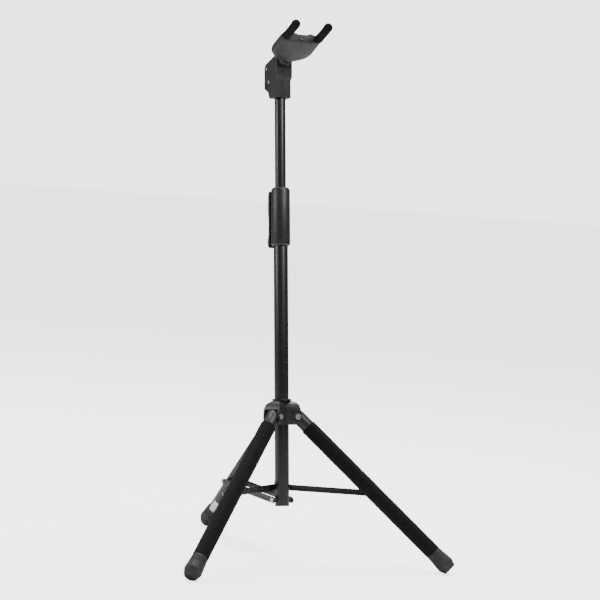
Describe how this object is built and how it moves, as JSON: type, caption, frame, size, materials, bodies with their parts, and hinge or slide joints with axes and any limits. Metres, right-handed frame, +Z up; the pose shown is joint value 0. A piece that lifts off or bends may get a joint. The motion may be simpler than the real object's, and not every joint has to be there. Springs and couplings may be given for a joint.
{
  "type": "guitar stand",
  "caption": "Folding tripod guitar stand with a leaning telescopic mast, squeeze clutch and a swivelling padded yoke for the headstock.",
  "frame": {"origin": "on the floor under the middle of the tripod", "axes": "+Z up, -Y is the front where the guitar hangs, +X to the right of the stand seen from the front view along +Y"},
  "size_m": [0.592, 0.5242, 1.0588],
  "materials": {
    "black_powder_coat": "satin black paint on steel tube and bar",
    "black_nylon": "moulded, fine spark texture",
    "zinc_steel": "bright zinc plate",
    "black_screw": "black oxide",
    "black_foam": "closed-cell foam, matt",
    "black_rubber": "moulded rubber, matt",
    "silver_label": "blank satin foil label"
  },
  "bodies": {
    "mast": {"lower_tube": "black_powder_coat", "tube_plug": "black_nylon", "clutch_body": "black_nylon", "clutch_bush": "black_nylon", "lever_pin": "zinc_steel", "lever_spring": "zinc_steel", "lock_plate": "zinc_steel", "spreader_bracket": "black_powder_coat", "strut_rivet_left": "zinc_steel", "strut_rivet_right": "zinc_steel", "strut_rivet_rear": "zinc_steel"},
    "lever": {"clutch_lever": "black_nylon"},
    "upper_mast": {"upper_tube": "black_powder_coat", "upper_bush": "black_nylon", "head_shell_left": "black_nylon", "head_shell_right": "black_nylon", "head_screws": "zinc_steel", "yoke_shaft": "zinc_steel"},
    "yoke": {"yoke_body": "black_nylon", "yoke_pad": "black_rubber", "yoke_screw": "black_screw", "arm_core_left": "zinc_steel", "arm_core_right": "zinc_steel", "arm_sleeve_left": "black_foam", "arm_sleeve_right": "black_foam"},
    "hub": {"hub_body": "black_nylon", "hub_collar": "black_nylon", "hub_rivet_left": "zinc_steel", "hub_rivet_right": "zinc_steel", "hub_rivet_rear": "zinc_steel"},
    "leg_left": {"leg_fitting_left": "black_nylon", "leg_tube_left": "black_powder_coat", "foam_left": "black_foam", "foot_left": "black_rubber"},
    "leg_right": {"leg_fitting_right": "black_nylon", "leg_tube_right": "black_powder_coat", "foam_right": "black_foam", "foot_right": "black_rubber"},
    "leg_rear": {"leg_fitting_rear": "black_nylon", "leg_tube_rear": "black_powder_coat", "foot_rear": "black_rubber", "leg_label": "silver_label", "leg_spacers": "black_powder_coat"},
    "strut_left": {"strut_left": "black_powder_coat", "strut_pin_left": "zinc_steel"},
    "strut_right": {"strut_right": "black_powder_coat", "strut_pin_right": "zinc_steel"},
    "strut_rear": {"strut_rear": "black_powder_coat", "strut_pin_rear": "zinc_steel"}
  },
  "joints": [
    {"name": "hub_slide", "type": "slide", "parent": "mast", "child": "hub", "axis": [0, 0.1891, 0.982], "range_m": [0, 0.2509]},
    {"name": "leg_left_fold", "type": "hinge", "parent": "hub", "child": "leg_left", "pos_m": [-0.02858, -0.04626, 0.27781], "axis": [-0.5, 0.8504, -0.1638], "range_deg": [-40.5, 0]},
    {"name": "strut_left_fold", "type": "hinge", "parent": "mast", "child": "strut_left", "pos_m": [0, -0.05615, 0.13918], "axis": [-0.5, 0.8504, -0.1638], "range_deg": [0, 79.19]},
    {"name": "leg_right_fold", "type": "hinge", "parent": "hub", "child": "leg_right", "pos_m": [0.02858, -0.04626, 0.27781], "axis": [-0.5, -0.8504, 0.1638], "range_deg": [-40.5, 0]},
    {"name": "strut_right_fold", "type": "hinge", "parent": "mast", "child": "strut_right", "pos_m": [0, -0.05615, 0.13918], "axis": [-0.5, -0.8504, 0.1638], "range_deg": [0, 79.19]},
    {"name": "leg_rear_fold", "type": "hinge", "parent": "hub", "child": "leg_rear", "pos_m": [0, 0.00235, 0.26845], "axis": [1, 0, 0], "range_deg": [-43.6, 0]},
    {"name": "strut_rear_fold", "type": "hinge", "parent": "mast", "child": "strut_rear", "pos_m": [0, -0.06107, 0.11364], "axis": [1, 0, 0], "range_deg": [0, 58.86]},
    {"name": "mast_extend", "type": "slide", "parent": "mast", "child": "upper_mast", "axis": [0, 0.1891, 0.982], "range_m": [-0.17, 0.12]},
    {"name": "lever_squeeze", "type": "hinge", "parent": "mast", "child": "lever", "pos_m": [0, 0.06731, 0.70097], "axis": [-1, 0, 0], "range_deg": [0, 5], "stiffness_Nm_per_rad": 1.5, "springref_deg": -8.59},
    {"name": "yoke_swivel", "type": "hinge", "parent": "upper_mast", "child": "yoke", "pos_m": [0, 0.07958, 0.9868], "axis": [0, -0.83, 0.5577], "range_deg": [-20, 20]}
  ],
  "couplings": [
    {"joint": "leg_left_fold", "follows": "hub_slide", "rad_per_m": -2.8169},
    {"joint": "strut_left_fold", "follows": "hub_slide", "rad_per_m": 5.5082},
    {"joint": "leg_right_fold", "follows": "hub_slide", "rad_per_m": -2.8169},
    {"joint": "strut_right_fold", "follows": "hub_slide", "rad_per_m": 5.5082},
    {"joint": "leg_rear_fold", "follows": "hub_slide", "rad_per_m": -3.0327},
    {"joint": "strut_rear_fold", "follows": "hub_slide", "rad_per_m": 4.0936}
  ]
}
